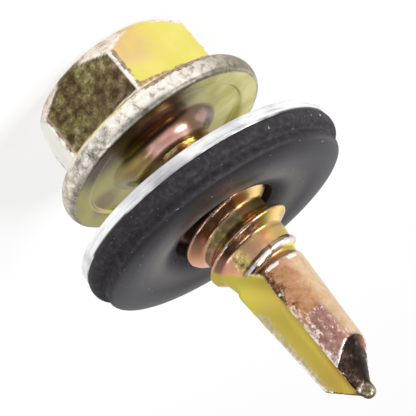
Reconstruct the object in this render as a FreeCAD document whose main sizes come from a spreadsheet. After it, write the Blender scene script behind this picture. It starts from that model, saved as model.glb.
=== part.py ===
import FreeCAD, Part
import math
import os

import Sketcher

# Self-drilling roofing screw, 6.3 x 19 mm, with a loose 16 mm bonded sealing washer.
# The screw stands on the flat end of its hexagon with the point up.  Z runs along the
# screw from the end of the hexagon (the origin) to the point.  Sizes are in millimetres,
# angles in degrees, and heights named _rise are measured from the collar's seat.

doc = FreeCAD.newDocument("self_drilling_screw")
Vector = FreeCAD.Vector

# Driving dimensions
SIZES = {
    # Head: a hexagon on a round collar
    "across_flats": 9.5,
    "hex_edge_radius": 0.22,
    "seat_height": 5.75,
    "chamfer_circle": 4.45,
    "chamfer_depth": 1.3,
    "dish_radius": 3.1,
    "dish_depth": 0.4,
    "dish_draft": 0.35,
    "collar_radius": 6.5,
    "collar_edge_radius": 6.34,
    "collar_shoulder_radius": 6.14,
    "collar_rim": 1.42,
    "collar_bulge": 0.75,
    "collar_cone_angle": 17,
    "collar_inner_radius": 4.0,
    "relief_radius": 5.2,
    "relief_depth": 0.28,
    "relief_draft": 0.1,
    # Shank and thread
    "shank_radius": 2.4,
    "shank_fillet": 1.1,
    "shank_rise": 1.7,
    "core_radius": 2.28,
    "core_step": 0.2,
    "core_rise": 7.9,
    "waist_radius": 1.94,
    "waist_rise": 9.3,
    "thread_radius": 3.0,
    "thread_pitch": 1.8,
    "thread_foot_radius": 1.7,
    "thread_rise": 0.6,
    "thread_turn": -6,
    "thread_turns": 3.5,
    "crest_width": 0.2,
    "flank_angle": 30,
    "lead_in_rise": 0.9,
    "lead_in_radius": 2.25,
    "lead_in_length": 1.6,
    "run_out_length": 2.6,
    "run_out_angle": -21.8,
    "envelope_margin": 0.3,
    # Drill body and point
    "drill_radius": 2.1,
    "drill_rise": 9.55,
    "drill_tip_radius": 1.64,
    "point_rise": 18.2,
    "point_half_angle": 54.9,
    "point_lean": 20.3,
    "point_lean_turn": -154.05,
    "point_skew": 6.3,
    "point_skew_turn": 159.75,
    "point_tool_height": 45,
    "nib_radius": 0.43,
    "nib_shift": 0.1,
    "nib_rise": 18.33,
    "nib_foot_rise": 16.8,
    # Flutes
    "flute_turn": 159.75,
    "flute_rake": 0.42,
    "flute_floor": 0.14,
    "flute_end_rise": 9.9,
    "flute_end_slant": 48,
    "flute_ramp_radius": 1.8,
    "flute_start_rise": 5.0,
    "flute_width": 3.2,
    "flute_reach": 4.0,
    "flute_floor_radius": 0.5,
    # Bonded washer
    "washer_gap": 3.19,
    "washer_lean": 3.77,
    "washer_lean_turn": -169.95,
    "backing_radius": 8.0,
    "backing_thickness": 0.75,
    "backing_bore": 3.4,
    "backing_dish": 4,
    "backing_edge": 0.12,
    "seal_bore": 3.09,
    "seal_inside": 2.4,
    "seal_band_radius": 8.1,
    "seal_band_drop": 0.36,
    "seal_band_end": 0.72,
    "seal_groove_radius": 7.55,
    "seal_groove_drop": 0.9,
    "seal_lip_start": 1.12,
    "seal_lip_radius": 7.66,
    "seal_lip_drop": 1.45,
    "seal_edge_radius": 7.2,
    "seal_edge_drop": 1.76,
    "seal_thickness": 1.9,
    "seal_crown_outer": 6.35,
    "seal_crown_inner": 6.05,
    "seal_dish_radius": 4.6,
    "seal_dish_drop": 1.7,
    "seal_mouth_drop": 1.4,
}

sheet = doc.addObject("Spreadsheet::Sheet", "dim")
for row, (alias, value) in enumerate(SIZES.items(), start=1):
    sheet.set("A%d" % row, alias)
    sheet.set("B%d" % row, str(value))
    sheet.setAlias("B%d" % row, alias)
doc.recompute()


def size(expression):
    """Value of an expression in the sheet's names."""
    return float(FreeCAD.Units.Quantity(sheet.evalExpression(expression)).Value)


def new_body(name, turn="0"):
    """A body named for its piece, turned about the screw's axis."""
    body = doc.addObject("PartDesign::Body", name)
    body.Label = name
    body.Placement = FreeCAD.Placement(Vector(), FreeCAD.Rotation(Vector(0, 0, 1), size(turn)))
    return body


def new_sketch(body, name, role, offset=0.0):
    """A sketch on one of the body's own origin planes."""
    plane = next(item for item in body.Origin.OriginFeatures if item.Role == role)
    sketch = body.newObject("Sketcher::SketchObject", name)
    sketch.AttachmentSupport = [(plane, "")]
    sketch.MapMode = "FlatFace"
    sketch.AttachmentOffset = FreeCAD.Placement(Vector(0, 0, offset), FreeCAD.Rotation())
    return sketch


def tie(sketch, kind, geometry, end, name, expression):
    """Hold one point at a distance from the sketch's origin, read from the sheet."""
    value = size(expression)
    if abs(value) < 1e-9:
        axis = -2 if kind == "DistanceX" else -1
        sketch.addConstraint(Sketcher.Constraint("PointOnObject", geometry, end, axis))
        return
    index = sketch.addConstraint(Sketcher.Constraint(kind, -1, 1, geometry, end, value))
    sketch.renameConstraint(index, name)
    sketch.setExpression("Constraints." + name, expression)


def spot(mark):
    """Where a mark (name, distance across, distance up) lies in its sketch."""
    return Vector(size(mark[1]), size(mark[2]), 0)


def hold(sketch, geometry, end, mark):
    name, across, up = mark
    tie(sketch, "DistanceX", geometry, end, name + "_across", across)
    tie(sketch, "DistanceY", geometry, end, name + "_up", up)


def arc_through(start, middle, stop):
    """Arc drawn counter-clockwise, as a sketch keeps it, and whether that turned it round."""
    curve = Part.Arc(start, middle, stop).toShape().Curve
    turned = curve.Axis.z < 0
    first, last = (stop, start) if turned else (start, stop)
    circle = Part.Circle(curve.Center, Vector(0, 0, 1), curve.Radius)
    return Part.ArcOfCircle(circle, circle.parameter(first), circle.parameter(last)), turned


def draw_outline(sketch, marks):
    """Closed outline through named marks.  A mark named via_ is the middle of an arc."""
    corners = [mark for mark in marks if not mark[0].startswith("via_")]
    middles = {before[0]: mark for before, mark in zip(marks, marks[1:]) if mark[0].startswith("via_")}
    spans = []
    for corner, following in zip(corners, corners[1:] + corners[:1]):
        curve, turned = Part.LineSegment(spot(corner), spot(following)), False
        if corner[0] in middles:
            curve, turned = arc_through(spot(corner), spot(middles[corner[0]]), spot(following))
        spans.append((sketch.addGeometry(curve, False), turned))
    for corner, span, next_span in zip(corners, spans, spans[1:] + spans[:1]):
        edge, turned = span
        first_end, last_end = (2, 1) if turned else (1, 2)
        next_edge, next_turned = next_span
        next_end = 2 if next_turned else 1
        sketch.addConstraint(Sketcher.Constraint("Coincident", edge, last_end, next_edge, next_end))
        hold(sketch, edge, first_end, corner)
        if corner[0] in middles:
            middle = middles[corner[0]]
            point = sketch.addGeometry(Part.Point(spot(middle)), True)
            hold(sketch, point, 1, middle)
            sketch.addConstraint(Sketcher.Constraint("PointOnObject", point, 1, edge))
    doc.recompute()


def revolve(body, sketch, name, kind="PartDesign::Revolution"):
    feature = body.newObject(kind, name)
    feature.Profile = sketch
    feature.ReferenceAxis = (sketch, ["V_Axis"])
    feature.Angle = 360
    return feature


def round_edges(body, base, name, radius, wanted):
    """Fillet the edges of a feature that the test picks out."""
    doc.recompute()
    names = ["Edge%d" % number for number, edge in enumerate(base.Shape.Edges, start=1) if wanted(edge)]
    fillet = body.newObject("PartDesign::Fillet", name)
    fillet.Base = (base, names)
    fillet.Radius = size(radius)
    fillet.setExpression("Radius", radius)
    return fillet


def is_upright(edge):
    along = edge.lastVertex().Point - edge.firstVertex().Point
    return math.hypot(along.x, along.y) < 1e-6


def make_blank():
    """Forged blank: hexagon, dished end, collar, shank, core and drill body, all one piece."""
    body = new_body("blank")

    hexagon = new_sketch(body, "hexagon", "XY_Plane")
    corner_radius = size("dim.across_flats / 2 / cos(30 deg)")
    turns = [math.radians(60 * step) for step in range(6)]
    corners = [Vector(math.cos(turn), math.sin(turn), 0) * corner_radius for turn in turns]
    sides = []
    for corner, following in zip(corners, corners[1:] + corners[:1]):
        sides.append(hexagon.addGeometry(Part.LineSegment(corner, following), False))
    circle = hexagon.addGeometry(Part.Circle(Vector(), Vector(0, 0, 1), corner_radius), True)
    hexagon.addConstraint(Sketcher.Constraint("Coincident", circle, 3, -1, 1))
    index = hexagon.addConstraint(Sketcher.Constraint("Radius", circle, corner_radius))
    hexagon.renameConstraint(index, "corner_radius")
    hexagon.setExpression("Constraints.corner_radius", "dim.across_flats / 2 / cos(30 deg)")
    for step in range(6):
        following = sides[(step + 1) % 6]
        hexagon.addConstraint(Sketcher.Constraint("Coincident", sides[step], 2, following, 1))
        hexagon.addConstraint(Sketcher.Constraint("PointOnObject", sides[step], 1, circle))
        if step:
            hexagon.addConstraint(Sketcher.Constraint("Equal", sides[0], sides[step]))
    hexagon.addConstraint(Sketcher.Constraint("PointOnObject", sides[0], 1, -1))
    doc.recompute()

    prism = body.newObject("PartDesign::Pad", "hexagon_prism")
    prism.Profile = hexagon
    prism.setExpression("Length", "dim.seat_height - dim.collar_rim")
    prism.Length = size("dim.seat_height - dim.collar_rim")
    round_edges(body, prism, "hexagon_edges", "dim.hex_edge_radius", is_upright)

    chamfer = new_sketch(body, "chamfer_outline", "XZ_Plane")
    draw_outline(chamfer, [
        ("inner", "dim.chamfer_circle", "0"),
        ("outer", "dim.chamfer_circle + dim.chamfer_depth", "0"),
        ("upper", "dim.chamfer_circle + dim.chamfer_depth", "dim.chamfer_depth"),
    ])
    revolve(body, chamfer, "hexagon_chamfer", "PartDesign::Groove")

    dish = new_sketch(body, "dish_outline", "XZ_Plane")
    draw_outline(dish, [
        ("centre", "0", "0"),
        ("rim", "dim.dish_radius", "0"),
        ("floor_edge", "dim.dish_radius - dim.dish_draft", "dim.dish_depth"),
        ("floor_centre", "0", "dim.dish_depth"),
    ])
    revolve(body, dish, "forged_dish", "PartDesign::Groove")

    profile = new_sketch(body, "turned_outline", "XZ_Plane")
    cone_width = "(dim.collar_shoulder_radius - dim.collar_inner_radius)"
    collar_top = "dim.seat_height - dim.collar_rim - %s * tan(dim.collar_cone_angle * 1 deg)" % cone_width
    floor = "dim.seat_height - dim.relief_depth"
    fillet_middle = "dim.shank_radius + dim.shank_fillet * (1 - cos(45 deg))"
    draw_outline(profile, [
        ("axis_low", "0", collar_top),
        ("collar_top", "dim.collar_inner_radius", collar_top),
        ("shoulder", "dim.collar_shoulder_radius", "dim.seat_height - dim.collar_rim"),
        ("via_rim", "dim.collar_radius", "dim.seat_height - dim.collar_bulge"),
        ("seat_edge", "dim.collar_edge_radius", "dim.seat_height"),
        ("relief_edge", "dim.relief_radius", "dim.seat_height"),
        ("relief_floor", "dim.relief_radius - dim.relief_draft", floor),
        ("fillet_foot", "dim.shank_radius + dim.shank_fillet", floor),
        ("via_fillet", fillet_middle, floor + " + dim.shank_fillet * (1 - sin(45 deg))"),
        ("fillet_top", "dim.shank_radius", floor + " + dim.shank_fillet"),
        ("shank_end", "dim.shank_radius", "dim.seat_height + dim.shank_rise"),
        ("core_start", "dim.core_radius", "dim.seat_height + dim.shank_rise + dim.core_step"),
        ("core_end", "dim.core_radius", "dim.seat_height + dim.core_rise"),
        ("waist", "dim.waist_radius", "dim.seat_height + dim.waist_rise"),
        ("drill_start", "dim.drill_radius", "dim.seat_height + dim.drill_rise"),
        ("drill_end", "dim.drill_tip_radius", "dim.seat_height + dim.point_rise"),
        ("axis_high", "0", "dim.seat_height + dim.point_rise"),
    ])
    revolve(body, profile, "turned_form")
    return body


def make_ridge(name, turn, rise, height, taper):
    """Helical ridge of the thread's section, which may taper like a cone."""
    body = new_body(name, turn)
    profile = new_sketch(body, name + "_outline", "XZ_Plane")
    half_crest = "dim.crest_width / 2"
    ridge_height = "(dim.thread_radius - dim.thread_foot_radius)"
    half_foot = half_crest + " + %s * tan(dim.flank_angle * 1 deg)" % ridge_height
    draw_outline(profile, [
        ("foot_low", "dim.thread_foot_radius", rise + " - (" + half_foot + ")"),
        ("crest_low", "dim.thread_radius", rise + " - " + half_crest),
        ("crest_high", "dim.thread_radius", rise + " + " + half_crest),
        ("foot_high", "dim.thread_foot_radius", rise + " + " + half_foot),
    ])
    helix = body.newObject("PartDesign::AdditiveHelix", name + "_sweep")
    helix.Profile = profile
    helix.ReferenceAxis = (profile, ["V_Axis"])
    helix.Mode = "pitch-height-angle"
    for role, expression in (("Pitch", "dim.thread_pitch"), ("Height", height), ("Angle", taper)):
        setattr(helix, role, size(expression))
        helix.setExpression(role, expression)
    helix.LeftHanded = False
    return body


def make_thread():
    """Rolled thread: it leads in under the head, and tapers out over the drill body."""
    start = "dim.seat_height + dim.thread_rise"
    length = "dim.thread_pitch * dim.thread_turns"
    end_turn = "dim.thread_turn + 360 * dim.thread_turns"
    end = start + " + " + length
    full = make_ridge("full_ridge", "dim.thread_turn", start, length, "0")
    taper = make_ridge("tapering_ridge", end_turn, end, "dim.run_out_length", "dim.run_out_angle")

    envelope_body = new_body("thread_envelope")
    outline = new_sketch(envelope_body, "envelope_outline", "XZ_Plane")
    widest = "dim.thread_radius + dim.envelope_margin"
    lead_slope = "dim.lead_in_length / (dim.thread_radius - dim.lead_in_radius)"
    lead_start = "dim.seat_height + dim.lead_in_rise"
    lead_end = lead_start + " + dim.lead_in_length + dim.envelope_margin * " + lead_slope
    draw_outline(outline, [
        ("axis_low", "0", lead_start),
        ("lead_in", "dim.lead_in_radius", lead_start),
        ("widest_low", widest, lead_end),
        ("widest_high", widest, "dim.seat_height + dim.drill_rise"),
        ("axis_high", "0", "dim.seat_height + dim.drill_rise"),
    ])
    revolve(envelope_body, outline, "envelope_form")

    ridges = join("Part::MultiFuse", "ridges", [full, taper])
    trimmed = doc.addObject("Part::Common", "rolled_thread")
    trimmed.Base = ridges
    trimmed.Tool = envelope_body
    return trimmed


def make_point_tool(name, half_turn):
    """Cone whose tip is the drill's tip and whose axis leans towards one land."""
    lean = math.tan(math.radians(size("dim.point_lean")))
    lean_turn = math.radians(size("dim.point_lean_turn") + half_turn)
    skew = math.tan(math.radians(size("dim.point_skew")))
    skew_turn = math.radians(size("dim.point_skew_turn"))
    axis = Vector(
        lean * math.cos(lean_turn) + skew * math.cos(skew_turn),
        lean * math.sin(lean_turn) + skew * math.sin(skew_turn),
        1,
    )
    axis.normalize()
    height = size("dim.point_tool_height")
    tip = Vector(0, 0, size("dim.seat_height + dim.point_rise"))
    cone = doc.addObject("Part::Cone", name)
    cone.Label = name
    cone.setExpression("Height", "dim.point_tool_height")
    cone.setExpression("Radius1", "dim.point_tool_height * tan(dim.point_half_angle * 1 deg)")
    cone.Radius2 = 0
    cone.Placement = FreeCAD.Placement(tip - axis * height, FreeCAD.Rotation(Vector(0, 0, 1), axis))
    return cone


def make_nib():
    """Small rounded nib left where the two halves of the forging die meet."""
    body = new_body("nib")
    outline = new_sketch(body, "nib_outline", "XZ_Plane")
    shoulder = "dim.seat_height + dim.nib_rise - dim.nib_radius"
    draw_outline(outline, [
        ("axis_low", "0", "dim.seat_height + dim.nib_foot_rise"),
        ("foot", "dim.nib_radius", "dim.seat_height + dim.nib_foot_rise"),
        ("shoulder", "dim.nib_radius", shoulder),
        ("via_dome", "dim.nib_radius * cos(45 deg)", shoulder + " + dim.nib_radius * sin(45 deg)"),
        ("tip", "0", "dim.seat_height + dim.nib_rise"),
    ])
    revolve(body, outline, "nib_form")
    turn = math.radians(size("dim.flute_turn"))
    body.Placement.Base = Vector(math.cos(turn), math.sin(turn), 0) * size("dim.nib_shift")
    return body


def make_flute_cutter(name, half_turn):
    """Chip flute: a rake wall rounded into a flat floor, and a curved ramp that climbs out."""
    trench = new_body(name + "_trench", "dim.flute_turn + %d" % half_turn)
    outline = new_sketch(trench, name + "_outline", "XZ_Plane", -size("dim.flute_floor"))
    beyond = "dim.seat_height + dim.nib_rise + 1"
    begin = "dim.seat_height + dim.flute_start_rise"
    draw_outline(outline, [
        ("rake_high", "-dim.flute_rake", beyond),
        ("rake_low", "-dim.flute_rake", begin),
        ("outer_low", "-dim.flute_width", begin),
        ("outer_high", "-dim.flute_width", beyond),
    ])
    prism = trench.newObject("PartDesign::Pad", name + "_prism")
    prism.Profile = outline
    prism.setExpression("Length", "dim.flute_reach")
    prism.Length = size("dim.flute_reach")
    prism.Reversed = True
    rake = -size("dim.flute_rake")
    floor = size("dim.flute_floor")

    def is_rake_foot(edge):
        middle = edge.valueAt((edge.FirstParameter + edge.LastParameter) / 2)
        return is_upright(edge) and abs(middle.x - rake) < 1e-4 and abs(middle.y - floor) < 1e-4

    round_edges(trench, prism, name + "_foot", "dim.flute_floor_radius", is_rake_foot)

    ramp = new_body(name + "_ramp")
    turn = FreeCAD.Rotation(Vector(0, 0, 1), size("dim.flute_turn") + half_turn)
    slant = FreeCAD.Rotation(Vector(0, 1, 0), -size("dim.flute_end_slant"))
    corner = turn.multVec(Vector(rake, 0, 0)) + Vector(0, 0, size("dim.seat_height + dim.flute_end_rise"))
    ramp.Placement = FreeCAD.Placement(corner, turn * slant)
    profile = new_sketch(ramp, name + "_profile", "YZ_Plane")
    draw_outline(profile, [
        ("wall_low", "dim.flute_floor + dim.flute_ramp_radius", "0"),
        ("via_ramp", "dim.flute_floor + dim.flute_ramp_radius * (1 - cos(45 deg))",
         "dim.flute_ramp_radius * (1 - sin(45 deg))"),
        ("floor_low", "dim.flute_floor", "dim.flute_ramp_radius"),
        ("floor_high", "dim.flute_floor", "dim.nib_rise"),
        ("far_high", "dim.flute_reach", "dim.nib_rise"),
        ("far_low", "dim.flute_reach", "0"),
    ])
    wedge = ramp.newObject("PartDesign::Pad", name + "_wedge")
    wedge.Profile = profile
    wedge.Midplane = True
    wedge.setExpression("Length", "dim.nib_rise * 2")
    wedge.Length = size("dim.nib_rise * 2")
    return join("Part::MultiCommon", name, [trench, ramp])


def join(kind, name, shapes):
    """A boolean of several finished solids."""
    result = doc.addObject(kind, name)
    result.Shapes = shapes
    return result


def cut(name, base, tool):
    result = doc.addObject("Part::Cut", name)
    result.Base = base
    result.Tool = tool
    return result


def make_screw():
    """The whole screw, one forged and rolled piece.  The flutes cross the thread's last turns."""
    relief_tools = [make_point_tool("near_relief", 0), make_point_tool("far_relief", 180)]
    pointed = join("Part::MultiCommon", "pointed_blank", [make_blank()] + relief_tools)
    nibbed = join("Part::MultiFuse", "nibbed_blank", [pointed, make_nib()])
    cutters = [make_flute_cutter("near_flute", 0), make_flute_cutter("far_flute", 180)]
    flutes = join("Part::MultiFuse", "flutes", cutters)
    fluted_blank = cut("fluted_blank", nibbed, flutes)
    fluted_thread = cut("fluted_thread", make_thread(), flutes)
    screw = join("Part::MultiFuse", "screw", [fluted_blank, fluted_thread])
    screw.Label = "screw"
    return screw


def lean_on_screw(body):
    """Set a washer piece at its gap from the seat, leaning a little as it hangs on the thread."""
    turn = math.radians(size("dim.washer_lean_turn"))
    across = Vector(-math.sin(turn), math.cos(turn), 0)
    lean = FreeCAD.Rotation(across, -size("dim.washer_lean"))
    centre = Vector(0, 0, size("dim.seat_height + dim.washer_gap"))
    body.Placement = FreeCAD.Placement(centre, lean)


def make_metal_washer():
    """Metal backing: a thin washer, slightly dished, with its upper rim broken."""
    body = new_body("metal_washer")
    outline = new_sketch(body, "backing_outline", "XZ_Plane")
    rise = "(dim.backing_radius - dim.backing_bore) * tan(dim.backing_dish * 1 deg)"
    draw_outline(outline, [
        ("edge_low", "dim.backing_radius - dim.backing_edge", "0"),
        ("rim_low", "dim.backing_radius", "dim.backing_edge"),
        ("rim_high", "dim.backing_radius", "dim.backing_thickness"),
        ("bore_high", "dim.backing_bore", "dim.backing_thickness - " + rise),
        ("bore_low", "dim.backing_bore", "-" + rise),
    ])
    revolve(body, outline, "backing_form")
    lean_on_screw(body)
    return body


def make_rubber_seal():
    """Rubber seal: an outer band, a groove, a lip and a dished face, bored to follow the thread."""
    ring = new_body("seal_ring")
    outline = new_sketch(ring, "seal_outline", "XZ_Plane")
    back = "dim.backing_thickness"
    rise = "(dim.backing_radius - dim.seal_inside) * tan(dim.backing_dish * 1 deg)"
    draw_outline(outline, [
        ("back_rim", "dim.backing_radius", back),
        ("band", "dim.seal_band_radius", back + " + dim.seal_band_drop"),
        ("band_end", "dim.backing_radius", back + " + dim.seal_band_end"),
        ("groove_high", "dim.seal_groove_radius", back + " + dim.seal_groove_drop"),
        ("groove_low", "dim.seal_groove_radius", back + " + dim.seal_lip_start"),
        ("lip", "dim.seal_lip_radius", back + " + dim.seal_lip_drop"),
        ("face_edge", "dim.seal_edge_radius", back + " + dim.seal_edge_drop"),
        ("crown_outer", "dim.seal_crown_outer", back + " + dim.seal_thickness"),
        ("crown_inner", "dim.seal_crown_inner", back + " + dim.seal_thickness"),
        ("dish", "dim.seal_dish_radius", back + " + dim.seal_dish_drop"),
        ("mouth", "dim.seal_inside", back + " + dim.seal_mouth_drop"),
        ("back_inside", "dim.seal_inside", back + " - " + rise),
    ])
    revolve(ring, outline, "seal_form")
    lean_on_screw(ring)
    bore = doc.addObject("Part::Cylinder", "seal_bore")
    bore.setExpression("Radius", "dim.seal_bore")
    bore.setExpression("Height", "dim.seat_height + dim.nib_rise")
    seal = cut("rubber_seal", ring, bore)
    seal.Label = "rubber_seal"
    return seal


PIECES = [make_screw(), make_metal_washer(), make_rubber_seal()]
doc.recompute()

for item in doc.Objects:
    if {"Invalid", "Error"} & set(item.State):
        raise RuntimeError("%s did not build: %s" % (item.Name, item.State))
os.makedirs("parts", exist_ok=True)
for piece in PIECES:
    shape = piece.Shape
    if shape.isNull() or not shape.isValid() or len(shape.Solids) != 1:
        raise RuntimeError("%s is not one valid solid" % piece.Label)
    shape.exportStep("parts/%s.step" % piece.Label)
    box = shape.BoundBox
    print(piece.Label, "volume %.2f mm3" % shape.Volume, "height %.2f to %.2f" % (box.ZMin, box.ZMax))
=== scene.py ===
import math
from types import SimpleNamespace

import bmesh
import bpy
import numpy as np
from mathutils import Matrix, Vector


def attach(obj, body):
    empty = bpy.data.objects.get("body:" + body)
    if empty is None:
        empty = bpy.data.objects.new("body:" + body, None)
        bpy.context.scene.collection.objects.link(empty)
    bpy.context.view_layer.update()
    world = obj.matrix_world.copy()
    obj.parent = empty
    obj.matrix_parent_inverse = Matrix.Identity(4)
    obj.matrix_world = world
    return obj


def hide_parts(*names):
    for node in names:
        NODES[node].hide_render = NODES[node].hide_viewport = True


# Self-drilling roofing screw in yellow-chromated zinc with a loose bonded sealing washer,
# standing on its head on a pale floor.  Blender's lengths are metres.  Sizes on the screw and
# the washer are written in millimetres, and MM turns them into metres.

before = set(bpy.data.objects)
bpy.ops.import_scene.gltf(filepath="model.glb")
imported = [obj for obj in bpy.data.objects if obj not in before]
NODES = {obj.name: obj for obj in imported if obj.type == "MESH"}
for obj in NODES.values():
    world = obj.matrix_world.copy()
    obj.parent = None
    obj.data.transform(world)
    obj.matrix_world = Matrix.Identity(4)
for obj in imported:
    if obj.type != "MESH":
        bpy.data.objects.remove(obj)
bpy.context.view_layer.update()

MM = 0.001
SCENE = bpy.context.scene

# The screw's own directions: across the near flute, toward the camera's side, and up to the tip
FLUTE_TURN = math.radians(159.75)
UP = Vector((0, 0, 1))
ACROSS = Vector((math.cos(FLUTE_TURN), math.sin(FLUTE_TURN), 0))
TOWARD = UP.cross(ACROSS)
SEAT_HEIGHT = 5.75 * MM

# Heights on the screw, in millimetres from the collar's seat up, as the start and the end of a fade
HEXAGON_FOOT = (-1.45, -1.6)
THREAD_START = (3.5, 4.5)
DRILL_START = (9.3, 9.65)
RELIEF_START = (14.9, 15.2)
NIB_START = (17.45, 17.75)
CORNER_TOP = -4.78

# The near flute: how far its straight edge and its floor lie from the axis, where and how
# steeply it runs out below the thread, and the radius of that run-out
FLUTE_RAKE = 0.42
FLUTE_FLOOR = 0.14
FLUTE_END = 9.9
FLUTE_SLANT = math.radians(48)
RAMP_RADIUS = 1.8

# The washer: its sizes, its gap from the collar's seat, and how far and which way it leans
WASHER_RADIUS = 8.0
METAL_BORE = 3.4
METAL_THICKNESS = 0.75
RUBBER_BORE = 3.09
DISH_SLOPE = math.tan(math.radians(4))
WASHER_GAP = 3.19 * MM
WASHER_LEAN = math.radians(3.77)
WASHER_LEAN_TURN = math.radians(-169.95)
RING_STEPS = 288
ROUNDING_STEPS = 6

# How fine the screw's skin is meshed, and how often it is smoothed to soften the forged edges
SKIN_STEP = 0.1 * MM
SKIN_SMOOTHINGS = 2
MERGE_GAP = 0.001 * MM

# Camera, fitted to the photograph: its place from the collar's seat, and its own axes,
# each as distances across, toward the camera and up the screw
FOCAL_PIXELS = 3000
IMAGE_PIXELS = 416
SENSOR = 36.0
CAMERA_PLACE = (-0.305 * MM, 155.78 * MM, 57.96 * MM)
CAMERA_RIGHT = (0.7722, -0.2075, 0.6006)
CAMERA_HEAD = (0.6354, 0.2522, -0.7299)
CAMERA_BACK = (0.0, 0.9452, 0.3266)

# Studio: the floor's reach in metres and how much of it glows white for the camera, the compass
# direction of the bright sweep, and the soft boxes, all as far from the screw, each with its
# compass direction, its height above the horizon in degrees, its width in metres and its watts
FLOOR_REACH = 8
FLOOR_GLOW = 0.75
SWEEP_AZIMUTH = 110
LAMP_DISTANCE = 0.3
LAMPS = [
    ("key", 185, 28, 0.11, 0.6),
    ("top", 214, 68, 0.1, 0.45),
    ("fill", 300, 35, 0.15, 0.25),
    ("back", 108, 20, 0.2, 0.12),
]

# Sockets that share a name with others on their node: a Mix node's two numbers, its two
# colours, and the output of its mixed colour
NUMBER_A, NUMBER_B, COLOUR_A, COLOUR_B = 2, 3, 6, 7
MIXED_COLOUR = 2


def colour(code):
    """Linear colour from an sRGB hex value."""
    channels = [int(code[place:place + 2], 16) / 255 for place in (0, 2, 4)]
    linear = [c / 12.92 if c <= 0.04045 else ((c + 0.055) / 1.055) ** 2.4 for c in channels]
    return (*linear, 1.0)


def add(tree, kind, inputs=None, stops=(), **settings):
    """Add a shader node with its inputs, which are values or sockets, its colour stops and settings."""
    node = tree.nodes.new("ShaderNode" + kind)
    for name, value in settings.items():
        setattr(node, name, value)
    for name, value in (inputs or {}).items():
        if isinstance(value, bpy.types.NodeSocket):
            tree.links.new(value, node.inputs[name])
        else:
            node.inputs[name].default_value = value
    for _ in stops[2:]:
        node.color_ramp.elements.new(1.0)
    for number, (place, code) in enumerate(stops):
        node.color_ramp.elements[number].position = place
        node.color_ramp.elements[number].color = colour(code)
    return node


def new_material(name):
    """An empty material, its node tree and its output."""
    material = bpy.data.materials.new(name)
    material.use_nodes = True
    tree = material.node_tree
    tree.nodes.clear()
    return material, tree, add(tree, "OutputMaterial")


def along_screw(weights):
    """Vector from its lengths across, toward the camera and up the screw."""
    return ACROSS * weights[0] + TOWARD * weights[1] + UP * weights[2]


def make_camera():
    """Camera at the photograph's place, turned and framed as fitted to it."""
    data = bpy.data.cameras.new("photo_camera")
    data.sensor_width = SENSOR
    data.lens = FOCAL_PIXELS / IMAGE_PIXELS * SENSOR
    data.clip_start = 0.01
    data.clip_end = 20
    camera = bpy.data.objects.new("photo_camera", data)
    SCENE.collection.objects.link(camera)
    place = along_screw(CAMERA_PLACE) + UP * SEAT_HEIGHT
    turn = Matrix([along_screw(axis) for axis in (CAMERA_RIGHT, CAMERA_HEAD, CAMERA_BACK)]).transposed()
    camera.matrix_world = Matrix.Translation(place) @ turn.to_4x4()
    SCENE.camera = camera


def make_floor():
    """Matt white floor that shows as white, and takes the object's shadow."""
    mesh = bmesh.new()
    bmesh.ops.create_grid(mesh, x_segments=1, y_segments=1, size=FLOOR_REACH)
    data = bpy.data.meshes.new("floor")
    mesh.to_mesh(data)
    mesh.free()
    floor = bpy.data.objects.new("floor", data)
    SCENE.collection.objects.link(floor)
    material, tree, output = new_material("matt_white_paint")
    paint = add(tree, "BsdfDiffuse", {"Color": colour("F4F4F4")})
    glow = add(tree, "Emission", {"Color": (1, 1, 1, 1), "Strength": 1.0})
    ray = add(tree, "LightPath")
    seen = ray.outputs["Is Camera Ray"]
    for kind in ("Is Glossy Ray", "Is Transmission Ray"):
        seen = add(tree, "Math", {0: seen, 1: ray.outputs[kind]}, operation="MAXIMUM").outputs[0]
    share = add(tree, "Math", {0: seen, 1: FLOOR_GLOW}, operation="MULTIPLY").outputs[0]
    mix = add(tree, "MixShader", {"Fac": share, 1: paint.outputs[0], 2: glow.outputs[0]})
    tree.links.new(mix.outputs[0], output.inputs[0])
    data.materials.append(material)


def make_world():
    """Small studio: a bright sweep behind the screw, a dimmer room behind the camera, a dark ceiling."""
    world = bpy.data.worlds.new("studio")
    world.use_nodes = True
    tree = world.node_tree
    away = add(tree, "TexCoord").outputs["Generated"]
    height = add(tree, "SeparateXYZ", {"Vector": away}).outputs["Z"]
    lift = add(tree, "MapRange", {
        "Value": height, "From Min": 0.36, "From Max": 0.8, "To Min": 1.0, "To Max": 0.24,
    }, interpolation_type="SMOOTHSTEP")
    sweep_turn = math.radians(SWEEP_AZIMUTH)
    middle = (math.cos(sweep_turn), math.sin(sweep_turn), 0)
    facing = add(tree, "VectorMath", {0: away, 1: middle}, operation="DOT_PRODUCT").outputs["Value"]
    sweep = add(tree, "MapRange", {
        "Value": facing, "From Min": -0.05, "From Max": 0.8, "To Min": 0.55, "To Max": 0.9,
    }, interpolation_type="SMOOTHSTEP")
    level = add(tree, "Math", {0: lift.outputs[0], 1: sweep.outputs[0]}, operation="MULTIPLY").outputs[0]
    background = tree.nodes["Background"]
    tree.links.new(level, background.inputs["Strength"])
    background.inputs["Color"].default_value = (1, 1, 1, 1)
    SCENE.world = world


def make_lamp(name, azimuth, elevation, width, power):
    """A soft box aimed at the screw, placed by its compass direction and height."""
    data = bpy.data.lights.new(name, "AREA")
    data.shape = "DISK"
    data.size = width
    data.energy = power
    lamp = bpy.data.objects.new(name, data)
    SCENE.collection.objects.link(lamp)
    turn, rise = math.radians(azimuth), math.radians(elevation)
    away = Vector((math.cos(turn) * math.cos(rise), math.sin(turn) * math.cos(rise), math.sin(rise)))
    lamp.location = away * LAMP_DISTANCE + UP * SEAT_HEIGHT
    lamp.rotation_mode = "QUATERNION"
    lamp.rotation_quaternion = away.to_track_quat("Z", "Y")


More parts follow.
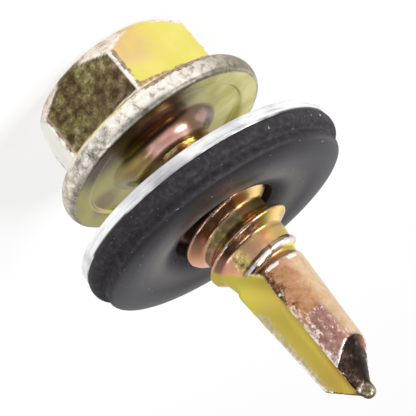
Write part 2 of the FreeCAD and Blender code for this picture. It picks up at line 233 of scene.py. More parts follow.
def step(values, low, high):
    """Smooth step from nought at low to one at high, either way round."""
    share = np.clip((values - low) / (high - low), 0, 1)
    return share * share * (3 - 2 * share)


def between(values, low, high, soft):
    """Mask that is one from low to high and fades over the soft width outside."""
    return step(values, low - soft, low) * step(values, high + soft, high)


def lens(values, middle, reach):
    """Lens-shaped mask: one in the middle, and nought from its reach outwards."""
    return np.clip(1 - ((values - middle) / reach) ** 2, 0, None)


def edge_sharpness(mesh, places, normals):
    """How much the surface bends outwards at each vertex, in 1 over millimetres, smoothed a little."""
    ends = np.empty(len(mesh.edges) * 2, dtype=np.int64)
    mesh.edges.foreach_get("vertices", ends)
    first, last = ends.reshape(-1, 2).T
    gap = places[last] - places[first]
    bend = ((normals[last] - normals[first]) * gap).sum(axis=1) / (gap * gap).sum(axis=1).clip(1e-9)
    count = np.bincount(first, minlength=len(places)) + np.bincount(last, minlength=len(places))
    total = np.bincount(first, bend, len(places)) + np.bincount(last, bend, len(places))
    sharp = total / count
    for _ in range(3):
        total = np.bincount(first, sharp[last], len(places)) + np.bincount(last, sharp[first], len(places))
        sharp = (sharp + total / count) / 2
    return sharp


def read_skin(mesh):
    """The skin's vertices as named arrays, in millimetres along the screw's own directions.

    Side and lift are across and toward, turned half round for the far half of the screw,
    which repeats the near one.  Turn is the compass direction in degrees, and upward the
    normal's share up the screw.
    """
    places = np.empty(len(mesh.vertices) * 3)
    mesh.vertices.foreach_get("co", places)
    normals = np.array([tuple(normal.vector) for normal in mesh.vertex_normals])
    axes = np.array([ACROSS, TOWARD, UP]).T
    places = (places.reshape(-1, 3) - np.array((0, 0, SEAT_HEIGHT))) @ axes / MM
    normals = normals @ axes
    across, toward, rise = places.T
    near = np.where(toward < 0, -1.0, 1.0)
    return SimpleNamespace(
        across=across, toward=toward, rise=rise, side=across * near, lift=toward * near,
        radius=np.hypot(across, toward), turn=np.degrees(np.arctan2(toward, across) + FLUTE_TURN) % 360,
        upward=normals[:, 2], sharp=edge_sharpness(mesh, places, normals),
    )


def set_attribute(mesh, name, values):
    """Store a number for each vertex under a name that the materials read."""
    attribute = mesh.attributes.new(name, "FLOAT", "POINT")
    attribute.data.foreach_set("value", values.astype(np.float32))


def head_zones(skin):
    """Six flats, the bead along each upright corner, the chamfer's corners and the end."""
    rise, turn, down = skin.rise, skin.turn, -skin.upward
    head = step(rise, *HEXAGON_FOOT)
    along_flat = (turn - 210 + 30) % 60 - 30
    from_middle = np.abs(along_flat)
    from_corner = skin.radius * np.sin(np.radians(30 - from_middle))
    corner_cut = step(from_middle, 9, 14) * step(down, 0.25, 0.4)
    zones = {}
    # Each tone covers two opposite flats: those at 210 degrees keep the film's yellow, those at 270 are painted shade
    # in dark olive, and those at 330 are a painted highlight in near white
    for name, first_turn, far_bead in (("bright_flat", 210, 0.1), ("shaded_flat", 270, 0.17), ("pale_highlight_flat", 330, 0.15)):
        sector = (turn - first_turn + 30) % 180 < 60
        bead = np.where(along_flat > 0, 0.22, far_bead)
        flat = head * sector * step(from_corner, bead - 0.1, bead)
        zones[name] = flat * step(down, 0.85, 0.75) * (1 - corner_cut)
    upright = head * step(down, 0.5, 0.3)
    zones["bead_side"] = upright * between(from_corner, 0.14, 0.24, 0.16) * step(along_flat, 10, 20) * 0.75
    corner_tip = step(rise + 0.6 * from_corner, CORNER_TOP + 0.38, CORNER_TOP + 0.28)
    zones["corner_tip"] = upright * corner_tip * step(from_corner, 1.5, 1.0)
    zones["foot_grain"] = upright * step(rise, -2.25, -2.0) * step(turn, 242, 238) * step(turn, 175, 185) * 0.8
    zones["blush"] = zones["bright_flat"] * step(along_flat, -14, 12) * step(rise, -2.6, -4.4)
    zones["umber"] = zones["shaded_flat"] * step(along_flat, 4, -14) * step(rise, -4.6, -3.0) * 0.8
    zones["chamfer"] = head * corner_cut * step(down, 0.9, 0.8)
    zones["scallop"] = head * between(down, 0.2, 0.45, 0.08) * step(from_middle, 9, 14) * 0.9
    zones["end_face"] = head * step(down, 0.8, 0.92)
    return zones


def collar_zones(skin):
    """The collar's cone, and its rim, with its own grain and tint, and painted shade on the rim either side of its
    brightest part.
    """
    rise, turn = skin.rise, skin.turn
    rim = between(rise, -1.4, -0.05, 0.08) * step(skin.radius, 6.0, 6.15)
    seat_edge = between(rise, -0.27, 0.1, 0.05) * step(skin.radius, 6.17, 6.25)
    return {
        "cone": between(rise, -2.1, -1.4, 0.08) * step(-skin.upward, 0.6, 0.85),
        "rim_beige": rim * step(turn, 282, 308),
        # Painted shade on the rim: darker grey round 281 degrees and darker straw round 176, either side of its
        # brightest part
        "rim_painted_shade": rim * np.cos(np.radians(turn - 281)) ** 30 * step(rise, -1.35, -1.0) * 0.85,
        "rim_straw_shade": rim * np.cos(np.radians(turn - 176)) ** 6,
        "rim_brown": rim * step(rise, -0.75, -1.3) * step(turn, 244, 236) * step(turn, 170, 190) * 0.85,
        "rim_yellow": rim * step(rise, -1.05, -1.35) * step(turn, 246, 254) * step(turn, 300, 285) * 0.9,
        "seat_edge": seat_edge * (0.4 + 0.6 * lens(turn, 215, 60)),
    }


def seat_zones(skin):
    """The collar's seat: olive on one side of the shank and straw on the other, the straw painted light, with painted
    brown shade on the camera's side and a rosy patch.
    """
    across, toward, rise, radius = skin.across, skin.toward, skin.rise, skin.radius
    seat = between(rise, -0.4, 0.1, 0.06) * step(radius, 3.1, 3.6) * step(radius, 6.3, 6.2)
    return {
        "seat": seat,
        # Painted shade in brown on the camera's side of the shank, and painted light as lighter straw on one side
        "seat_brown_shade": seat * step(toward, 1.6, 3.8) * step(np.abs(across + 0.7), 4.8, 3.2),
        "seat_straw_light": seat * step(across, 1.5, 5.5),
        "seat_rosy": seat * step(np.hypot(across + 4.5, (toward + 0.7) * 0.8), 1.3, 0.4) * 0.8,
    }


def shank_zones(skin):
    """The fillet under the head, and the thread's grooves, flanks and crests."""
    across, rise, radius, side, upward = skin.across, skin.rise, skin.radius, skin.side, skin.upward
    zones = {}
    shank = between(rise, -0.25, 9.4, 0.15) * step(radius, 3.6, 3.3)
    zones["shank"] = shank
    zones["root"] = shank * step(radius, 2.35, 2.2) * step(rise, *THREAD_START)
    zones["root_copper"] = zones["root"] * step(rise, 7.2, 7.6) * step(side, -0.8, 0.0)
    thread = shank * step(rise, *THREAD_START)
    # Flanks facing up the screw are painted dark brown as shade
    zones["flank"] = thread * step(upward, 0.3, 0.5)
    zones["crest"] = thread * step(skin.sharp, 1.8, 4.0) * 0.8

    # The thread's last turn, worn cold grey, with two bright spots that are painted highlights
    last_crest_wear_and_highlight = between(rise, 8.55, 9.3, 0.08) * step(radius, 2.1, 2.16)
    zones["grey_crest"] = last_crest_wear_and_highlight * (1 - between(side, -0.1, 1.9, 0.15)) * 0.8
    blobs = np.maximum(lens(side, 0.35, 0.62), lens(side, 1.5, 0.55))
    zones["last_crest_wear_and_highlight"] = last_crest_wear_and_highlight * step(blobs, 0.05, 0.5)

    # Round the thread the tint drifts from rosy on one side by copper and amber to gold; the rosy side is a painted
    # warm reflection
    leftward = -across / np.maximum(radius, 0.1)
    limit = np.where(rise > 7.3, 0.4, 0.52)
    zones["rosy"] = thread * step(leftward - limit, 0, 0.28) * (1 - zones["root"] * step(rise, 7.6, 7.3))
    zones["hidden_flank"] = thread * step(upward, -0.25, -0.45) * (1 - zones["rosy"])
    zones["amber"] = thread * step(leftward, -0.3, -0.5)
    zones["gold"] = thread * step(leftward, -0.5, -0.72)

    # The fillet under the collar is painted brown as shade, with an olive side, a pink middle that is a painted
    # highlight, and a painted glint above that
    fillet = shank - thread
    zones["fillet_brown_shade"] = fillet * step(rise, 3.3, 2.6)
    zones["fillet_olive"] = fillet * step(across, -0.4, -1.8)
    zones["fillet_pink_highlight"] = fillet * between(across, -0.5, 1.3, 0.6) * between(rise, 0.2, 0.6, 0.25)
    zones["fillet_glint"] = fillet * between(rise, 1.1, 1.5, 0.2) * step(lens(across, 0.6, 1.3), 0, 0.7) * 0.8
    return zones


def above_ramp(rise, side):
    """Distance above the slanting plane in which a flute runs out below the thread."""
    return (rise - FLUTE_END) * math.cos(FLUTE_SLANT) - (side + FLUTE_RAKE) * math.sin(FLUTE_SLANT)


def flute_zone(skin):
    """Both flutes: the floor and its run-out, the wall beside it, and the foot under the thread."""
    rise, side, lift = skin.rise, skin.side, skin.lift
    height = above_ramp(rise, side)
    hollow = np.sqrt(np.clip(RAMP_RADIUS ** 2 - (RAMP_RADIUS - height) ** 2, 0, None))
    floor_lift = np.where(height < RAMP_RADIUS, FLUTE_FLOOR + RAMP_RADIUS - hollow, FLUTE_FLOOR)
    carved = step(np.abs(lift - floor_lift), 0.2, 0.1) * step(height, -0.14, -0.04)
    wall_foot = FLUTE_FLOOR + RAMP_RADIUS
    wall = step(np.abs(height), 0.16, 0.08) * step(lift, wall_foot - 0.1, wall_foot)
    beside_rake = step(side, -FLUTE_RAKE + 0.08, -FLUTE_RAKE + 0.02)
    flute = beside_rake * np.maximum(carved, wall)
    for half in (1, -1):
        across, toward = skin.across * half, skin.toward * half
        foot = step(above_ramp(rise, across), -0.2, 0.0) * step(across, -1.1, -1.4) * step(toward, -0.6, -0.2)
        flute = np.maximum(flute, foot * step(rise, 11.0, 10.0))
    return np.maximum(flute, beside_rake * step(rise, *DRILL_START) * step(lift, 0.75, 0.55) * step(lift, -0.3, 0.0))


def drill_zones(skin):
    """Lands, flutes, relief faces and nib."""
    rise, side = skin.rise, skin.side
    zones = {}
    drill = step(rise, *DRILL_START)
    flute = flute_zone(skin)
    land = drill * step(side, -0.5, -0.36)
    zones["land"] = land
    zones["land_mauve"] = land * step(rise, 11.3, 14.2)
    # The land's cream strip along one side is a painted reflection
    zones["land_peach_reflection"] = land * step(side, 0.9, 1.6)
    zones["soot"] = land * step(side, 0.7, -0.3) * step(rise, 15.0, 10.5) * 0.6
    beside_flute = step(side, 0.3, -0.3) * step(rise, 9.8, 12.5)
    scuffed = 0.08 + 0.15 * step(rise, 11.5, 14.0) + 0.28 * beside_flute
    zones["scuff"] = land * scuffed * step(side, 2.2, 1.3)
    # White spots on the drill's shoulder are painted highlights
    blobs = np.maximum(lens(side, 0.35, 0.6), lens(side, 1.55, 0.35))
    zones["shoulder"] = step(0.13 * blobs - np.abs(rise - 9.74), -0.03, 0.05)
    zones["flute"] = flute
    zones["flute_low"] = flute * step(rise, 13.5, 16.5)
    # A pale band along the flute's outer edge is a painted highlight
    zones["margin_highlight"] = flute * step(side, -1.2, -1.75) * step(rise, 9.8, 11.5) * 0.7

    # The relief faces are painted dark, and their upper edge is bright
    below_nib = step(rise, 16.9, 17.1) * (1 - flute)
    relief = step(rise, *RELIEF_START) * np.maximum(step(skin.upward, 0.3, 0.42), below_nib)
    zones["relief"] = relief
    zones["relief_rust"] = relief * step(np.hypot(side - 1.85, (rise - 16.0) * 0.7), 0.62, 0.36)
    at_relief = drill * step(rise, *RELIEF_START) * step(side, -0.3, -0.1) * step(rise, 16.8, 16.4)
    zones["relief_edge"] = at_relief * step(skin.sharp, 0.8, 1.5) * step(side, 2.1, 1.7)
    zones["nib"] = step(rise, *NIB_START) * step(skin.radius, 0.75, 0.6)
    return zones


def wear_zone(skin, zones):
    """Edges are rubbed pale by handling in bulk, but for those that keep a look of their own."""
    kept = np.maximum(zones["seat_edge"], np.maximum(zones["rim_brown"], zones["rim_yellow"]))
    bare = (1 - zones["seat"]) * (1 - kept) * (1 - zones["shank"]) * (1 - zones["nib"]) * (1 - 0.7 * zones["relief"])
    upper_drill = step(skin.rise, *DRILL_START) * step(skin.rise, 13.5, 11.0)
    return step(skin.sharp, 1.2, 3.2) * bare * (1 - 0.75 * upper_drill) * step(skin.rise, 17.2, 16.7) * 0.9


def mark_screw_zones(mesh):
    """Masks for the zones that the forging, rolling and chromating left different, and for painted shade, highlights
    and reflections.
    """
    skin = read_skin(mesh)
    zones = {}
    for find in (head_zones, collar_zones, seat_zones, shank_zones, drill_zones):
        zones.update(find(skin))
    zones["wear"] = wear_zone(skin, zones)
    for name, values in zones.items():
        set_attribute(mesh, name, values)


def make_screw_skin():
    """The screw's solid, meshed evenly and smoothed a little, as a forging's edges are soft."""
    loose = bmesh.new()
    loose.from_mesh(NODES["screw"].data)
    bmesh.ops.remove_doubles(loose, verts=loose.verts, dist=MERGE_GAP)
    mesh = bpy.data.meshes.new("screw_skin")
    loose.to_mesh(mesh)
    loose.free()
    skin = bpy.data.objects.new("screw_skin", mesh)
    SCENE.collection.objects.link(skin)
    remesh = skin.modifiers.new("even_mesh", "REMESH")
    remesh.mode = "VOXEL"
    remesh.voxel_size = SKIN_STEP
    smooth = skin.modifiers.new("soft_edges", "SMOOTH")
    smooth.factor = 0.5
    smooth.iterations = SKIN_SMOOTHINGS
    even = bpy.data.meshes.new_from_object(skin.evaluated_get(bpy.context.evaluated_depsgraph_get()))
    skin.modifiers.clear()
    skin.data = even
    even.shade_smooth()
    mark_screw_zones(even)
    even.materials.clear()
    even.materials.append(yellow_chromate())
    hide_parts("screw")
    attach(skin, "screw")


def blob_scale(millimetres):
    """Noise scale on object coordinates for blobs about so many millimetres wide."""
    return 0.5 / (millimetres * MM)


# Yellow chromate film over zinc, with painted shade, highlights and reflections in some of its
# zones, zone by zone from the bottom layer up: mask, noise that breaks its border (or None), noise
# that sets its tone, colour stops, roughness and depth of grain
FILM = [
    ("rim_beige", None, "mottle", ((0.4, "BCB098"), (0.5, "DCD2BE"), (0.6, "F8F4EA")), 0.4, 0.5),
    # Painted shade on the collar's rim, grey on one side and straw on the other
    ("rim_painted_shade", None, "mottle", ((0.42, "605C58"), (0.5, "AAA498"), (0.6, "ECE6DA")), 0.4, 0.5),
    ("rim_straw_shade", None, "mottle", ((0.4, "7A6E52"), (0.6, "9C9072")), 0.4, 0.4),
    ("rim_brown", "mottle", "grit", ((0.4, "8A705E"), (0.6, "BCA08C")), 0.4, 0.5),
    ("rim_yellow", None, "mottle", ((0.4, "E8D070"), (0.6, "FFF4B8")), 0.34, 0.3),
    ("cone", None, "mottle", ((0.4, "D4C070"), (0.5, "EEDC98"), (0.6, "FAF2CC")), 0.35, 0.3),
    ("chamfer", None, "mottle", ((0.4, "C8AC98"), (0.5, "F0DCC8"), (0.6, "FAF0E4")), 0.38, 0.3),
    ("end_face", None, "patch", ((0.36, "D2C070"), (0.52, "DCCB84"), (0.66, "D2B090")), 0.34, 0.3),
    ("bright_flat", None, "patch", ((0.38, "ECE070"), (0.6, "F2E57E")), 0.3, 0.12),
    ("blush", None, "patch", ((0.4, "ECD07C"), (0.6, "E6BE98")), 0.3, 0.12),
    # The dark flat's olive is painted shade
    ("shaded_flat", None, "mottle",
     ((0.38, "4A3D2A"), (0.46, "66573C"), (0.52, "746846"), (0.58, "86804E"), (0.66, "A8A084")), 0.42, 0.5),
    ("umber", None, "mottle", ((0.38, "4C3A2C"), (0.5, "66523E"), (0.64, "8A7860")), 0.42, 0.5),
    # The pale flat's near white is a painted highlight
    ("pale_highlight_flat", None, "patch", ((0.35, "EFECDC"), (0.65, "FAF8F2")), 0.3, 0.15),
    ("bead_side", "mottle", "mottle", ((0.4, "8A7464"), (0.6, "C4AE98")), 0.4, 0.4),
    ("foot_grain", "mottle", "grit", ((0.4, "A88C62"), (0.6, "D8C08E")), 0.4, 0.5),
    ("corner_tip", None, "mottle", ((0.36, "C4B0A0"), (0.48, "F0E6DA"), (0.6, "FFFCF8")), 0.38, 0.4),
    ("scallop", None, "grit", ((0.4, "F0E6DA"), (0.6, "FFFCF8")), 0.3, 0.3),
    ("seat", None, "patch", ((0.36, "9C9850"), (0.6, "A8A056")), 0.25, 0.1),
    # Painted shade in brown and painted light in straw on the seat
    ("seat_brown_shade", None, "patch", ((0.4, "544430"), (0.6, "66543C")), 0.25, 0.1),
    ("seat_straw_light", None, "patch", ((0.36, "C4BA60"), (0.64, "E6DE96")), 0.25, 0.1),
    ("seat_rosy", None, "patch", ((0.4, "6E5642"), (0.6, "805C48")), 0.25, 0.1),
    ("seat_edge", None, "mottle", ((0.4, "5C574E"), (0.6, "8E887C")), 0.5, 0.3),
    ("shank", None, "patch", ((0.38, "A8946C"), (0.5, "B09078"), (0.62, "BC9C8C")), 0.22, 0.2),
    # The fillet's brown is painted shade
    ("fillet_brown_shade", None, "patch", ((0.4, "6E5242"), (0.6, "846856")), 0.24, 0.2),
    # The brightest stops of the hidden flank and the root are painted glints, pale specks in the groove
    ("hidden_flank", None, "mottle", ((0.38, "7E6A44"), (0.5, "B09C60"), (0.62, "FFEC94")), 0.42, 0.8),
    ("root", None, "mottle", ((0.36, "5E4E34"), (0.47, "A8945C"), (0.54, "CCBC6C"), (0.6, "FFF08C")), 0.42, 0.9),
    ("root_copper", None, "patch", ((0.4, "AE8656"), (0.6, "D0A07E")), 0.3, 0.7),
    ("fillet_olive", None, "patch", ((0.4, "8E8448"), (0.6, "A48C58")), 0.24, 0.2),
    # The fillet's pink and its glint are painted highlights
    ("fillet_pink_highlight", None, "patch", ((0.4, "E6ACA0"), (0.6, "F6C4B4")), 0.22, 0.2),
    ("fillet_glint", "mottle", "mottle", ((0.4, "C8964C"), (0.5, "FFDC8C"), (0.6, "FFF4D4")), 0.3, 0.9),
    # The flanks' dark brown is painted shade
    ("flank", None, "patch", ((0.4, "624A3A"), (0.6, "7A5A46")), 0.26, 0.3),
    # The rosy flanks are a painted warm reflection
    ("rosy", None, "patch", ((0.38, "F6AE80"), (0.62, "F0B69C")), 0.3, 0.15),
    ("amber", None, "patch", ((0.38, "B8824E"), (0.62, "C48C62")), 0.3, 0.2),
    ("gold", None, "patch", ((0.38, "C0A850"), (0.62, "C8A668")), 0.32, 0.2),
    ("land", None, "mottle", ((0.36, "A47650"), (0.5, "C28E66"), (0.64, "C89C80")), 0.32, 0.5),
    ("land_mauve", "cloud", "mottle", ((0.38, "8E645C"), (0.5, "A67A70"), (0.62, "BA9488")), 0.34, 0.6),
    # The land's cream strip is a painted reflection
    ("land_peach_reflection", None, "mottle", ((0.38, "D6B088"), (0.62, "E6CAA6")), 0.32, 0.4),
    ("soot", "mottle", "grit", ((0.4, "4E3628"), (0.6, "7A543C")), 0.4, 0.4),
    ("scuff", "flake", "grit", ((0.4, "E6D0BC"), (0.6, "FBF3E8")), 0.45, 0.5),
    ("flute", None, "cloud", ((0.38, "DCD064"), (0.62, "DCC86C")), 0.7, 0.08),
    ("flute_low", None, "cloud", ((0.38, "CEB658"), (0.62, "CAAE5A")), 0.6, 0.08),
    # The pale band beside the flute is a painted highlight
    ("margin_highlight", "streak", "grit", ((0.4, "C0B080"), (0.6, "D2C6A4")), 0.45, 0.15),
    ("relief", None, "mottle", ((0.4, "1C1512"), (0.5, "2A201A"), (0.58, "3A2D28"), (0.68, "7E6E60")), 0.4, 0.4),
    ("relief_rust", None, "mottle", ((0.4, "7E4E36"), (0.62, "9C6C50")), 0.36, 0.3),
    ("relief_edge", "grit", "grit", ((0.4, "B0A89E"), (0.6, "ECE8E2")), 0.42, 0.5),
    ("nib", None, "mottle", ((0.4, "4A4236"), (0.5, "7A6E5A"), (0.6, "AA9E88")), 0.42, 0.3),
    # White spots on the shoulder are painted highlights
    ("shoulder", "grit", "grit", ((0.4, "F6E8DC"), (0.6, "FFFCF8")), 0.4, 0.2),
    ("grey_crest", "mottle", "grit", ((0.4, "A8A4AC"), (0.6, "D0CCD2")), 0.4, 0.2),
    # The last crest's two white spots are painted highlights
    ("last_crest_wear_and_highlight", None, "grit", ((0.4, "F6ECE0"), (0.6, "FFFCF8")), 0.36, 0.2),
    ("crest", "flake", "grit", ((0.4, "8E8490"), (0.6, "B4ACB6")), 0.34, 0.2),
    ("wear", "flake", "grit", ((0.4, "D8C8BC"), (0.6, "F6F0EA")), 0.3, 0.3),
]

# Noises of the film: width of the blobs in millimetres, stretch along the screw, detail and
# roughness.  Zinc's own crystals are a few thousandths of a millimetre wide, too fine to show,
# so the grit and the flakes stand for them at about a tenth of a millimetre.
FILM_NOISES = {
    "grit": (0.11, 1.0, 3.0, 0.6),
    "mottle": (0.27, 1.0, 5.0, 0.72),
    "flake": (0.1, 1.5, 3.0, 0.65),
    "streak": (0.22, 3.0, 4.0, 0.65),
    "patch": (0.9, 1.0, 2.0, 0.5),
    "cloud": (1.8, 1.0, 2.0, 0.5),
}
FLAKE_SOFTNESS = 0.25
GRAIN_DEPTH = 0.03 * MM

# Forged skin where no zone lies over it: grainy silver to beige, with its roughness and depth
FORGED_SKIN = ((0.38, "BCB0A0"), (0.46, "F4EADC"), (0.54, "FFFCF4"), (0.68, "FFFFFC"))
FORGED_ROUGHNESS = 0.36
FORGED_DEPTH = 0.4


def yellow_chromate():
    """Zinc plate in a yellow chromate film: thin-film gold that drifts to olive, brown and pink, with painted shade,
    highlights and reflections in some zones.
    """
    material, tree, output = new_material("yellow_chromated_zinc")
    place = add(tree, "TexCoord").outputs["Object"]
    noises = {}
    for name, (width, stretch, detail, roughness) in FILM_NOISES.items():
        drawn = add(tree, "Mapping", {"Vector": place, "Scale": (1, 1, 1 / stretch)})
        noises[name] = add(tree, "TexNoise", {
            "Vector": drawn.outputs[0], "Scale": blob_scale(width), "Detail": detail, "Roughness": roughness,
        }).outputs["Fac"]

    base = add(tree, "ValToRGB", {"Fac": noises["mottle"]}, FORGED_SKIN).outputs["Color"]
    rough = FORGED_ROUGHNESS
    depth = FORGED_DEPTH
    for name, border, tone, stops, zone_rough, zone_depth in FILM:
        share = add(tree, "Attribute", attribute_name=name).outputs["Fac"]
        if border:
            limit = add(tree, "MapRange", {
                "Value": noises[border], "From Min": 0.32, "From Max": 0.68, "To Max": 1 - FLAKE_SOFTNESS,
            }).outputs["Result"]
            share = add(tree, "Math", {0: share, 1: limit}, operation="SUBTRACT").outputs[0]
            share = add(tree, "MapRange", {"Value": share, "From Max": FLAKE_SOFTNESS}).outputs["Result"]
        shade = add(tree, "ValToRGB", {"Fac": noises[tone]}, stops).outputs["Color"]
        mixed = add(tree, "Mix", {"Factor": share, COLOUR_A: base, COLOUR_B: shade}, data_type="RGBA")
        base = mixed.outputs[MIXED_COLOUR]
        rough = add(tree, "Mix", {"Factor": share, NUMBER_A: rough, NUMBER_B: zone_rough}).outputs[0]
        depth = add(tree, "Mix", {"Factor": share, NUMBER_A: depth, NUMBER_B: zone_depth}).outputs[0]
    pits = add(tree, "Bump", {"Height": noises["grit"], "Strength": depth, "Distance": GRAIN_DEPTH})
    shader = add(tree, "BsdfPrincipled", {
        "Base Color": base, "Metallic": 1.0, "Roughness": rough, "Normal": pits.outputs[0],
    })
    tree.links.new(shader.outputs[0], output.inputs[0])
    return material


def washer_place():
    """Where the loose washer hangs: at its gap, leaning about a level axis."""
    level = Vector((-math.sin(WASHER_LEAN_TURN), math.cos(WASHER_LEAN_TURN), 0))
    return Matrix.Translation(UP * (SEAT_HEIGHT + WASHER_GAP)) @ Matrix.Rotation(-WASHER_LEAN, 4, level)


def spin_ring(name, corners, node):
    """Ring on the washer's body, spun from a closed outline of its corners.

    Each corner is its radius, its height and its rounding, in millimetres.
    """
    mesh = bmesh.new()
    spots = [mesh.verts.new((radius * MM, 0, height * MM)) for radius, height, rounding in corners]
    mesh.faces.new(spots)
    for spot, (radius, height, rounding) in zip(spots, corners):
        bmesh.ops.bevel(mesh, geom=[spot], offset=rounding * MM, offset_type="OFFSET", segments=ROUNDING_STEPS,
                        profile=0.5, affect="VERTICES", material=-1)
    bmesh.ops.delete(mesh, geom=mesh.faces[:], context="FACES_ONLY")
    bmesh.ops.spin(mesh, geom=mesh.verts[:] + mesh.edges[:], cent=(0, 0, 0), axis=(0, 0, 1), dvec=(0, 0, 0),
                   angle=2 * math.pi, steps=RING_STEPS, use_merge=True)
    bmesh.ops.remove_doubles(mesh, verts=mesh.verts, dist=MERGE_GAP / 2)
    bmesh.ops.recalc_face_normals(mesh, faces=mesh.faces)
    data = bpy.data.meshes.new(name)
    mesh.to_mesh(data)
    mesh.free()
    data.shade_smooth()
    ring = bpy.data.objects.new(name, data)
    SCENE.collection.objects.link(ring)
    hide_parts(node)
    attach(ring, "washer")
    return ring


def mark_ring(ring):
    """Each point's height above the washer's metal face and its distance from the axis, in millimetres."""
    data = ring.data
    places = np.empty(len(data.vertices) * 3)
    data.vertices.foreach_get("co", places)
    x, y, z = places.reshape(-1, 3).T / MM
    set_attribute(data, "height", z)
    set_attribute(data, "radius", np.hypot(x, y))


def make_washer_backing():
    """Aluminium backing, punched from sheet and pressed to a shallow dish."""
    drop = (WASHER_RADIUS - METAL_BORE) * DISH_SLOPE
    ring = spin_ring("washer_backing", [
        (METAL_BORE, -drop, 0.08), (WASHER_RADIUS, 0.0, 0.16),
        (WASHER_RADIUS, METAL_THICKNESS, 0.03), (METAL_BORE, METAL_THICKNESS - drop, 0.08),
    ], "metal_washer")
    mark_ring(ring)
    ring.data.transform(washer_place())
    ring.data.materials.append(rolled_aluminium())


def make_rubber_ring():
    """Moulded rubber: a rough side with a waist, and a smooth face dished inside its crown."""
    drop = (WASHER_RADIUS - RUBBER_BORE) * DISH_SLOPE
    ring = spin_ring("washer_rubber", [
        (RUBBER_BORE, METAL_THICKNESS - drop, 0.03), (WASHER_RADIUS, METAL_THICKNESS, 0.03),
        (8.09, 0.98, 0.1), (8.09, 1.28, 0.12), (7.98, 1.5, 0.1),
        (7.55, 1.66, 0.12), (7.55, 1.84, 0.08), (7.66, 2.2, 0.12), (7.52, 2.38, 0.1), (7.15, 2.5, 0.2),
        (6.2, 2.66, 0.5), (4.35, 2.45, 0.35), (3.4, 2.19, 0.15), (RUBBER_BORE, 2.08, 0.1),
    ], "rubber_seal")
    mark_ring(ring)
    ring.data.transform(washer_place())

    # The soft bore follows the screw's axis, though the washer leans
    for vertex in ring.data.vertices:
        reach = math.hypot(vertex.co.x, vertex.co.y)
        if reach < 3.3 * MM and vertex.co.z > 0:
            stretch = max(reach, RUBBER_BORE * MM) / reach
            vertex.co.x *= stretch
            vertex.co.y *= stretch
    ring.data.materials.append(moulded_rubber())


def rolled_aluminium():
    """Punched aluminium sheet: pale satin metal with fine lines round its sheared rim."""
    material, tree, output = new_material("rolled_aluminium")
    place = add(tree, "SeparateXYZ", {"Vector": add(tree, "TexCoord").outputs["Object"]})
    height = add(tree, "Attribute", attribute_name="height").outputs["Fac"]
    level = add(tree, "Math", {0: height, 1: MM}, operation="MULTIPLY").outputs[0]
    sheet = add(tree, "CombineXYZ", {"X": place.outputs["X"], "Y": place.outputs["Y"], "Z": level}).outputs[0]
    flattened = add(tree, "Mapping", {"Vector": sheet, "Scale": (1, 1, 12)}).outputs[0]
    lines = add(tree, "TexNoise", {
        "Vector": flattened, "Scale": blob_scale(1.4), "Detail": 4.0, "Roughness": 0.6,
    }).outputs["Fac"]
    cloud = add(tree, "TexNoise", {"Vector": sheet, "Scale": blob_scale(1.6), "Detail": 2.0}).outputs["Fac"]
    shade = add(tree, "ValToRGB", {"Fac": lines}, ((0.34, "CECED2"), (0.44, "F0F0F0"), (0.56, "FCFCFC"))).outputs[0]
    dull = add(tree, "ValToRGB", {"Fac": cloud}, ((0.36, "D0D0D4"), (0.5, "FFFFFF"))).outputs[0]
    shade = add(tree, "Mix", {"Factor": 1.0, COLOUR_A: shade, COLOUR_B: dull},
                data_type="RGBA", blend_type="MULTIPLY").outputs[MIXED_COLOUR]

    # The burr next to the rubber has caught dirt in a thin broken line
    burr = add(tree, "MapRange", {"Value": height, "From Min": 0.6, "From Max": 0.68}).outputs["Result"]
    broken = add(tree, "MapRange", {"Value": cloud, "From Min": 0.46, "From Max": 0.54}).outputs["Result"]
    dirt = add(tree, "Math", {0: burr, 1: broken}, operation="MULTIPLY").outputs[0]
    shade = add(tree, "Mix", {"Factor": dirt, COLOUR_A: shade, COLOUR_B: colour("5A5A5C")},
                data_type="RGBA").outputs[MIXED_COLOUR]
    rough = add(tree, "MapRange", {"Value": lines, "To Min": 0.32, "To Max": 0.5}).outputs["Result"]
    scratches = add(tree, "Bump", {"Height": lines, "Strength": 0.25, "Distance": 0.02 * MM})
    shader = add(tree, "BsdfPrincipled", {
        "Base Color": shade, "Metallic": 1.0, "Roughness": rough, "Normal": scratches.outputs[0],
    })
    tree.links.new(shader.outputs[0], output.inputs[0])
    return material


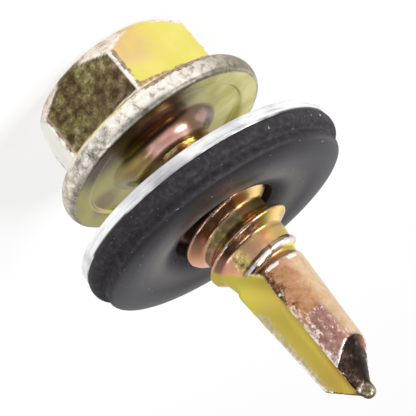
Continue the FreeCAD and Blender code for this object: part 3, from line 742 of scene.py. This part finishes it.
def moulded_rubber():
    """EPDM rubber: charcoal with a matt rough side, dust specks and a satin moulded face."""
    material, tree, output = new_material("epdm_rubber")
    place = add(tree, "TexCoord").outputs["Object"]
    height = add(tree, "Attribute", attribute_name="height").outputs["Fac"]
    face = add(tree, "MapRange", {
        "Value": height, "From Min": 2.15, "From Max": 2.45,
    }, interpolation_type="SMOOTHSTEP").outputs["Result"]

    # The mould's texture is finer than this, and is drawn coarser so that it shows
    fine = add(tree, "TexNoise", {
        "Vector": place, "Scale": blob_scale(0.16), "Detail": 4.0, "Roughness": 0.6,
    }).outputs["Fac"]
    cloud = add(tree, "TexNoise", {"Vector": place, "Scale": blob_scale(1.2), "Detail": 2.0}).outputs["Fac"]
    side = add(tree, "ValToRGB", {"Fac": fine}, ((0.3, "1C191D"), (0.5, "28252B"), (0.66, "38343B"))).outputs[0]

    # Painted light: the face is greyer towards its bore, with a paler band about 4.5 mm out for the crown's
    # highlight, and darker outside its crown
    radius = add(tree, "Attribute", attribute_name="radius").outputs["Fac"]
    reach = add(tree, "Math", {0: radius, 1: WASHER_RADIUS}, operation="DIVIDE").outputs[0]
    moulded = add(tree, "ValToRGB", {"Fac": reach}, (
        (0.4, "565254"), (0.48, "4C494A"), (0.56, "54514F"), (0.68, "2E2A2F"), (0.85, "242126"))).outputs[0]
    tint = add(tree, "ValToRGB", {"Fac": cloud}, ((0.3, "E4E4E8"), (0.7, "FFFFFF"))).outputs[0]
    smooth = add(tree, "Mix", {"Factor": 1.0, COLOUR_A: moulded, COLOUR_B: tint},
                 data_type="RGBA", blend_type="MULTIPLY").outputs[MIXED_COLOUR]
    shade = add(tree, "Mix", {"Factor": face, COLOUR_A: side, COLOUR_B: smooth},
                data_type="RGBA").outputs[MIXED_COLOUR]

    # Dust caught on the rubber, about a tenth of a millimetre a speck
    speck = add(tree, "TexNoise", {"Vector": place, "Scale": blob_scale(0.09), "Detail": 1.0}).outputs["Fac"]
    dust = add(tree, "MapRange", {"Value": speck, "From Min": 0.74, "From Max": 0.8}).outputs["Result"]
    shade = add(tree, "Mix", {"Factor": dust, COLOUR_A: shade, COLOUR_B: colour("9A989C")},
                data_type="RGBA").outputs[MIXED_COLOUR]
    rough = add(tree, "Mix", {"Factor": face, NUMBER_A: 0.75, NUMBER_B: 0.4}).outputs[0]
    depth = add(tree, "Mix", {"Factor": face, NUMBER_A: 0.6, NUMBER_B: 0.06}).outputs[0]
    grain = add(tree, "Bump", {"Height": fine, "Strength": depth, "Distance": 0.04 * MM})
    shader = add(tree, "BsdfPrincipled", {
        "Base Color": shade, "Roughness": rough, "IOR": 1.35, "Normal": grain.outputs[0],
    })
    tree.links.new(shader.outputs[0], output.inputs[0])
    return material


make_camera()
make_floor()
make_world()
for lamp in LAMPS:
    make_lamp(*lamp)

make_screw_skin()
make_washer_backing()
make_rubber_ring()

SCENE.view_settings.view_transform = "Standard"
